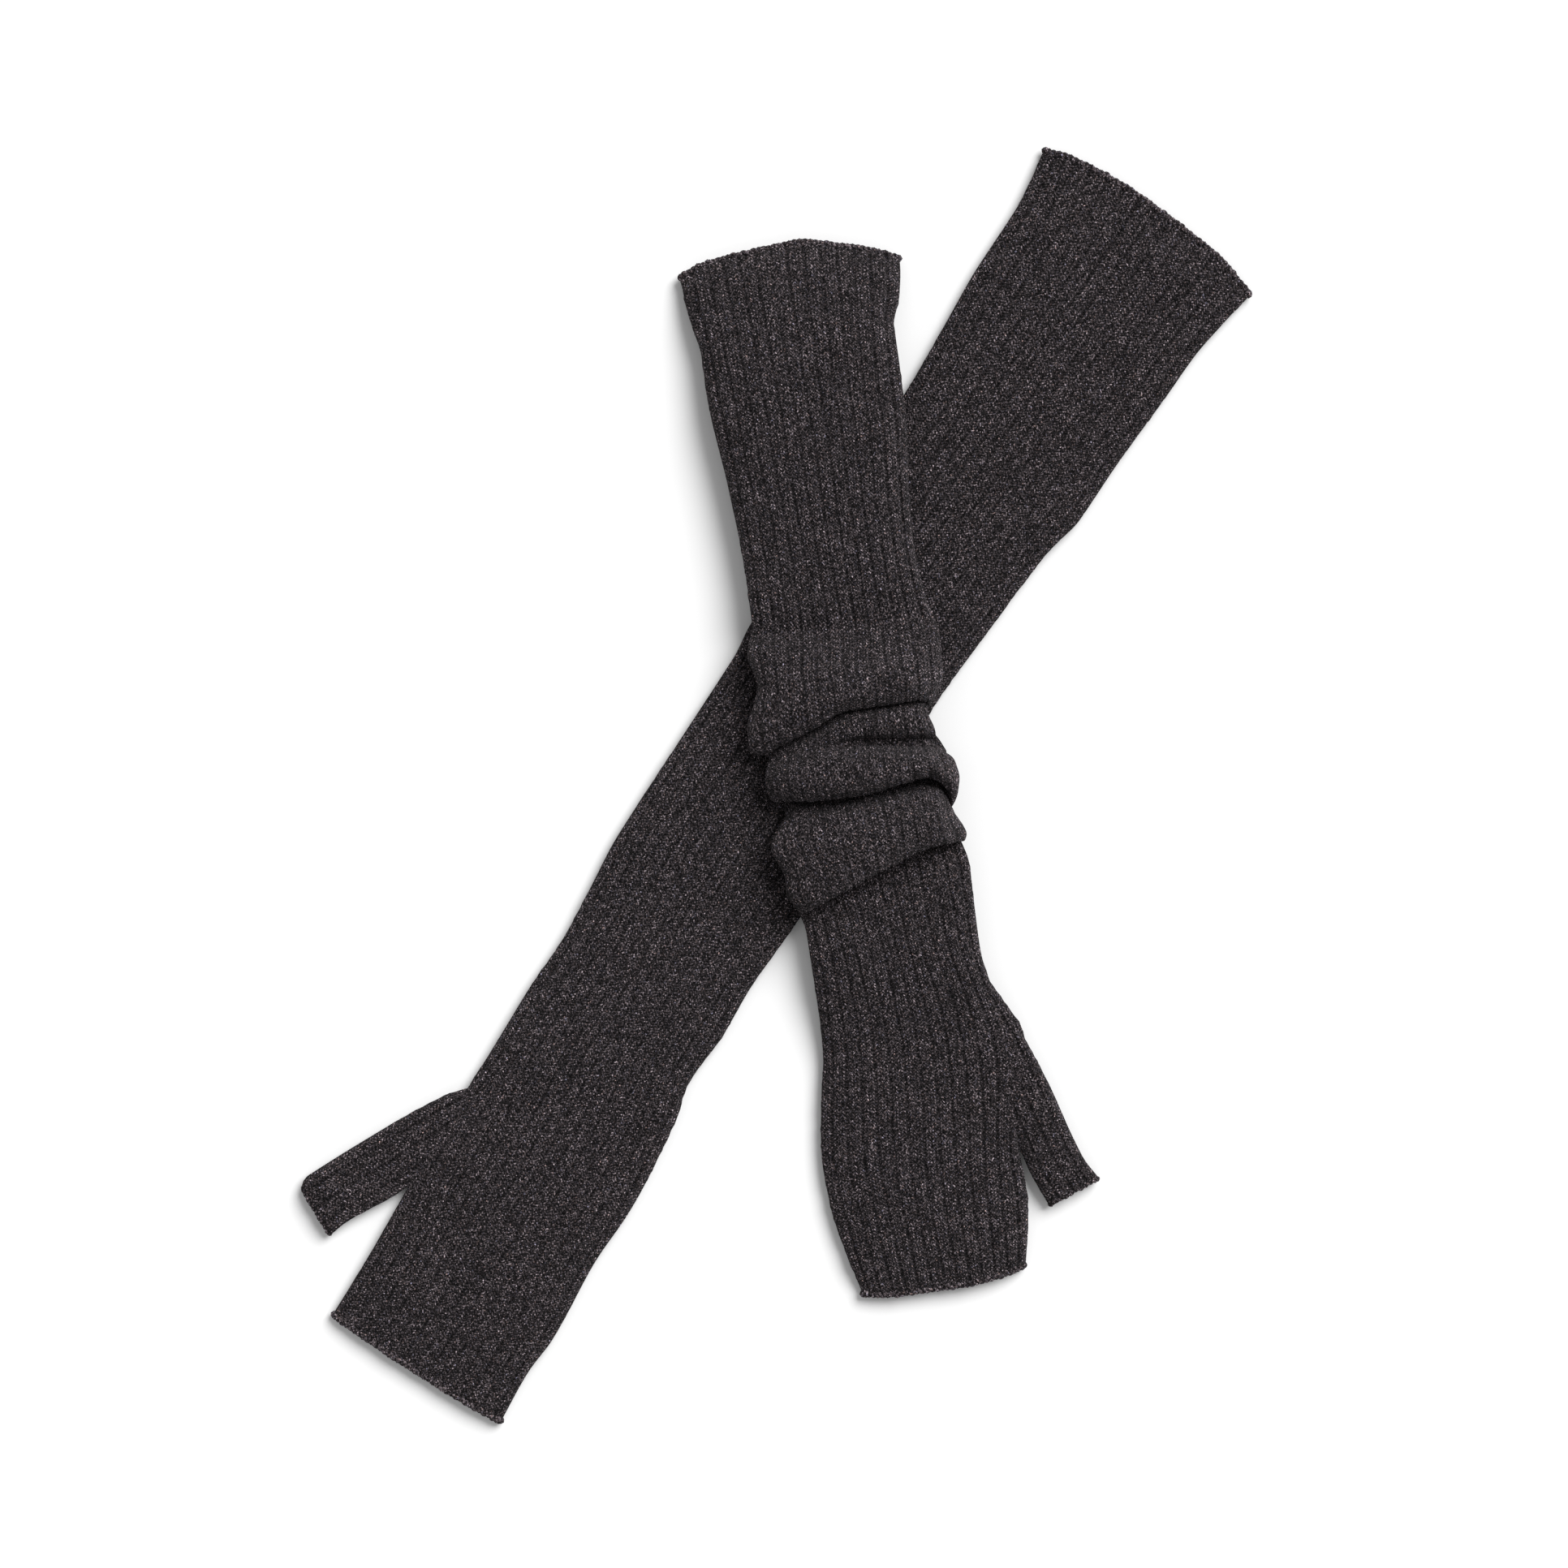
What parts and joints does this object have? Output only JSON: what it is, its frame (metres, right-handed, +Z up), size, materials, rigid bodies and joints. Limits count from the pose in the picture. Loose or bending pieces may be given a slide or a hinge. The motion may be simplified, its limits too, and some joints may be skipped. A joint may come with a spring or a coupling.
{
  "type": "fingerless gloves",
  "caption": "Pair of long rib-knit fingerless gloves, one laid across the other with its sleeve pushed into soft folds; open at arm, fingers and thumb.",
  "frame": {"origin": "on the floor under the middle of the pair's box", "axes": "+Z up from the surface the gloves lie on, +Y along the longer side of the pair towards the arm openings, +X to the side of the upper glove's thumb"},
  "size_m": [0.4047, 0.5386, 0.0353],
  "materials": {
    "lower_rib_knit": "charcoal marl wool rib knit, matt with a soft fuzz",
    "upper_rib_knit": "charcoal marl wool rib knit, matt with a soft fuzz",
    "bound_edge": "charcoal marl wool, cast-off chain edge, matt",
    "joining_row": "charcoal marl wool, picked-up row of stitches, matt"
  },
  "bodies": {
    "lower_arm": {"lower_arm_edge": "bound_edge", "lower_sleeve_top": "lower_rib_knit", "lower_sleeve_middle": "lower_rib_knit", "lower_forearm": "lower_rib_knit", "lower_wrist": "lower_rib_knit"},
    "lower_hand": {"lower_palm": "lower_rib_knit", "lower_hand_cuff": "lower_rib_knit", "lower_hand_edge": "bound_edge"},
    "lower_thumb_tube": {"lower_thumb_gusset": "lower_rib_knit", "lower_thumb_seam": "joining_row", "lower_thumb": "lower_rib_knit", "lower_thumb_edge": "bound_edge"},
    "upper_body": {"upper_forearm": "upper_rib_knit", "upper_wrist": "upper_rib_knit", "upper_fold_a": "upper_rib_knit", "upper_fold_b": "upper_rib_knit", "upper_fold_c": "upper_rib_knit"},
    "upper_arm": {"upper_arm_edge": "bound_edge", "upper_sleeve_top": "upper_rib_knit", "upper_sleeve_middle": "upper_rib_knit"},
    "upper_hand": {"upper_palm": "upper_rib_knit", "upper_hand_cuff": "upper_rib_knit", "upper_hand_edge": "bound_edge"},
    "upper_thumb_tube": {"upper_thumb_gusset": "upper_rib_knit", "upper_thumb_seam": "joining_row", "upper_thumb": "upper_rib_knit", "upper_thumb_edge": "bound_edge"}
  },
  "joints": [
    {"name": "upper_glove_lift", "type": "slide", "parent": "lower_arm", "child": "upper_body", "axis": [0, 0, 1], "range_m": [0, 0.12]},
    {"name": "lower_wrist_bend", "type": "hinge", "parent": "lower_arm", "child": "lower_hand", "pos_m": [-0.07805, -0.11941, 0.012], "axis": [-0.8432, 0.5375, 0], "range_deg": [0, 80], "deforming": ["lower_wrist"]},
    {"name": "lower_thumb_swing", "type": "hinge", "parent": "lower_hand", "child": "lower_thumb_tube", "pos_m": [-0.16674, -0.16373, 0.004], "axis": [0, 0, -1], "range_deg": [-8, 25]},
    {"name": "upper_wrist_bend", "type": "hinge", "parent": "upper_body", "child": "upper_hand", "pos_m": [0.05471, -0.09096, 0.018], "axis": [-0.9886, -0.1506, 0], "range_deg": [0, 80], "deforming": ["upper_wrist"]},
    {"name": "upper_thumb_swing", "type": "hinge", "parent": "upper_hand", "child": "upper_thumb_tube", "pos_m": [0.11248, -0.14669, 0.0055], "axis": [0, 0, 1], "range_deg": [-8, 25]},
    {"name": "upper_sleeve_pull", "type": "slide", "parent": "upper_body", "child": "upper_arm", "axis": [-0.1506, 0.9886, 0], "range_m": [0, 0.11], "deforming": ["upper_fold_a", "upper_fold_b", "upper_fold_c"]}
  ]
}
